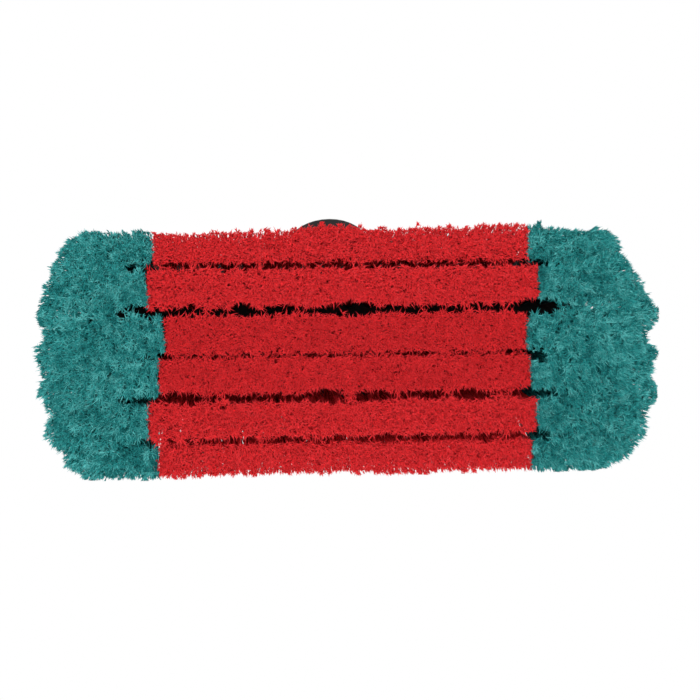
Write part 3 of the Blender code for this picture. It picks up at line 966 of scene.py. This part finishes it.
# Where the two colours meet, each keeps to its own side, as the camera sees them
def keepToRoom(points, t, row, room):
    r = brushRows
    eye = photoView["place"]
    seen = eye[0] + (points[..., 0] - eye[0]) / (1 - points[..., 2] / eye[2])
    wide, fine = r["seamWaves"]
    wobble = r["seamWobble"] * (np.sin(points[..., 1] * wide + row) + np.sin(points[..., 1] * fine))
    low, high = [edge + wobble * moves for edge, moves in room]
    past = (seen - np.clip(seen, low, high)) * np.interp(t, r["seamGrip"], (0, 1))
    points[..., 0] -= past * r["seamHold"]


# One mesh of as many copies of the filament as there are rows of points
def filamentMesh(master, name, points, attributes):
    piece = newObject(name, master.data.copy())
    repeat = piece.modifiers.new("repeat", "ARRAY")
    repeat.count = len(points)
    repeat.use_relative_offset = False
    applyAll(piece)
    piece.data.vertices.foreach_set("co", points.ravel())
    for label, values in attributes.items():
        attribute = piece.data.attributes.new(label, "FLOAT", "POINT")
        attribute.data.foreach_set("value", values.ravel().astype(np.float32))
    piece.data.shade_smooth()
    return piece


def growRow(master, endOf, row, section, dice):
    r = brushRows
    style = redStyle if section == "red" else tealStyle
    shape = coordsOf(master.data)
    tips, lock, calm, tuft, room = sectionTips(row, section, style, dice)
    count = len(tips)
    locks = lock.max() + 1
    roots, down = rootPlaces(row, tips, tuft, dice)
    length = blockLow.z + tuftField["trim"] + dice.normal(0, r["lengthJitter"], locks)[lock]
    length += np.where(dice.uniform(size=count) < r["stray"], dice.uniform(0, r["strayLength"], count), 0)
    lowest = dice.uniform(0, style["relief"], locks)[lock]
    ends = endPlaces(tips, roots, length, lowest)
    drift = ends[:, :2] - roots[:, :2]
    roots = roots - down * filament["rootSunk"]
    bends = roots + down * (length[:, None] * filament["bend"])
    bends[:, :2] += drift * r["earlyFan"]

    points, t = curvedPoints(shape, endOf, roots, bends, ends, style["wave"], dice)
    fanOut(points, shape, endOf, lock, calm, style, dice)
    keepToRoom(points, t, row, room)
    points[..., 2] = np.maximum(points[..., 2], 0)
    for axis, most in enumerate(r["reach"]):
        points[..., axis] = np.clip(points[..., axis], -most, most)

    # Painted shade on the middle red rows, added to each filament's tone
    tone = r["midTone"] + r["paintedRowShade"][row] * (section == "red")
    tone = tone + dice.normal(0, style["lockTone"], locks)[lock, None]
    endTone = dice.normal(0, style["endTone"], (count, filament["ends"]))[:, np.maximum(endOf, 0)]
    tone = np.clip(tone + (endOf >= 0) * endTone, 0, 1)
    piece = filamentMesh(master, f"bristleRow{row + 1}_{section}", points, {"tone": tone, "along": t})
    finishPiece(piece, style["material"], [f"bristles_row_{row + 1}_{section}"])
    return len(piece.data.loops) - 2 * len(piece.data.polygons)


def growBristles():
    master, endOf = modelFilament()
    dice = np.random.default_rng(brushRows["seed"])
    triangles = [growRow(master, endOf, row, section, dice)
                 for row in range(6) for section in ("red", "teal_plus", "teal_minus")]
    bpy.data.objects.remove(master)
    print("bristles grown:", sum(triangles), "triangles, the largest piece", max(triangles))


growBristles()


# Pale floor, there only for rays that start above it, so the camera and lamps below see the
# bristle face. It fades to white with distance
paleFloor = {
    "radius": 4.0,
    "colour": (0.86, 0.86, 0.86, 1),
    "fade": (0.35, 1.10),
}


def makeFloor():
    floor = newShape(bpy.ops.mesh.primitive_circle_add, vertices=64, radius=paleFloor["radius"],
                     fill_type="NGON")
    floor.name = "paleFloor"
    made, tree, shader = newMaterial("paleFloor", Base_Color=paleFloor["colour"], Roughness=0.9,
                                     Specular_IOR_Level=0.0)
    path = newNode(tree, "LightPath", 300, 500)
    place = newNode(tree, "TexCoord", 0, -400)
    away = tree.nodes.new("ShaderNodeVectorMath")
    away.operation = "LENGTH"
    away.location = (200, -400)
    tree.links.new(place.outputs["Object"], away.inputs[0])
    fade = newNode(tree, "MapRange", 400, -400, From_Min=paleFloor["fade"][0], From_Max=paleFloor["fade"][1])
    fade.interpolation_type = "SMOOTHSTEP"
    tree.links.new(away.outputs["Value"], fade.inputs["Value"])
    far = mathNode(tree, 600, -300, "MULTIPLY", fade.outputs["Result"], path.outputs["Is Camera Ray"])
    white = newNode(tree, "Emission", 700, -150, Strength=1.0)
    surface = newNode(tree, "MixShader", 1000, 0)
    tree.links.new(far, surface.inputs[0])
    tree.links.new(shader.outputs[0], surface.inputs[1])
    tree.links.new(white.outputs[0], surface.inputs[2])
    back = newNode(tree, "NewGeometry", 300, 250)
    front = mathNode(tree, 600, 300, "SUBTRACT", 1.0, back.outputs["Backfacing"])
    fromAbove = mathNode(tree, 600, 500, "LESS_THAN", path.outputs["Transparent Depth"], 0.5)
    there = mathNode(tree, 800, 400, "MULTIPLY", front, fromAbove)
    clear = newNode(tree, "BsdfTransparent", 1000, 200)
    mix = newNode(tree, "MixShader", 1200, 100)
    output = tree.nodes["Material Output"]
    output.location = (1400, 100)
    tree.links.new(there, mix.inputs[0])
    tree.links.new(clear.outputs[0], mix.inputs[1])
    tree.links.new(surface.outputs[0], mix.inputs[2])
    tree.links.new(mix.outputs[0], output.inputs["Surface"])
    floor.data.materials.append(made)


studio = {
    "ambient": 0.86,
    "faceLight": {"place": (0.35, 0.45, -1.35), "size": 1.3, "power": 7.0},
    "topLight": {"place": (-0.5, -0.6, 1.5), "size": 1.4, "power": 9.5},
    "sideLight": {"place": (0.9, -1.3, 0.5), "size": 1.0, "power": 4.0},
}


def makeLight(name):
    look = studio[name]
    lamp = bpy.data.lights.new(name, "AREA")
    lamp.size = look["size"]
    lamp.energy = look["power"]
    made = newObject(name, lamp)
    made.location = look["place"]
    made.rotation_euler = (-Vector(look["place"])).to_track_quat("-Z", "Y").to_euler()
    made.visible_camera = False


def makeWorld():
    world = bpy.data.worlds.new("studio")
    bpy.context.scene.world = world
    world.use_nodes = True
    tree = world.node_tree
    tree.nodes.clear()
    path = newNode(tree, "LightPath", -600, 200)
    white = newNode(tree, "Background", -200, 0, Color=(1, 1, 1, 1), Strength=1.0)
    soft = newNode(tree, "Background", -200, -200, Color=(1, 1, 1, 1), Strength=studio["ambient"])
    seen = mathNode(tree, -400, 200, "ADD", path.outputs["Is Camera Ray"], path.outputs["Is Glossy Ray"])
    seen = mathNode(tree, -200, 250, "ADD", seen, path.outputs["Is Transmission Ray"])
    seen.node.use_clamp = True
    mix = newNode(tree, "MixShader", 0, 0)
    output = tree.nodes.new("ShaderNodeOutputWorld")
    output.location = (200, 0)
    tree.links.new(seen, mix.inputs[0])
    tree.links.new(soft.outputs[0], mix.inputs[1])
    tree.links.new(white.outputs[0], mix.inputs[2])
    tree.links.new(mix.outputs[0], output.inputs["Surface"])


def makeCamera():
    data = bpy.data.cameras.new("photoCamera")
    data.lens = photoView["lens"]
    camera = newObject("photoCamera", data)
    back = (Vector(photoView["place"]) - Vector(photoView["aim"])).normalized()
    right = Vector((0, 1, 0)).cross(back).normalized()
    turn = Matrix((right, back.cross(right), back)).transposed().to_4x4()
    roll = Matrix.Rotation(photoView["roll"], 4, "Z")
    camera.matrix_world = Matrix.Translation(photoView["place"]) @ turn @ roll
    bpy.context.scene.camera = camera


makeFloor()
for name in ("faceLight", "topLight", "sideLight"):
    makeLight(name)
makeWorld()
makeCamera()
bpy.context.scene.view_settings.view_transform = "Standard"
print("stage set")
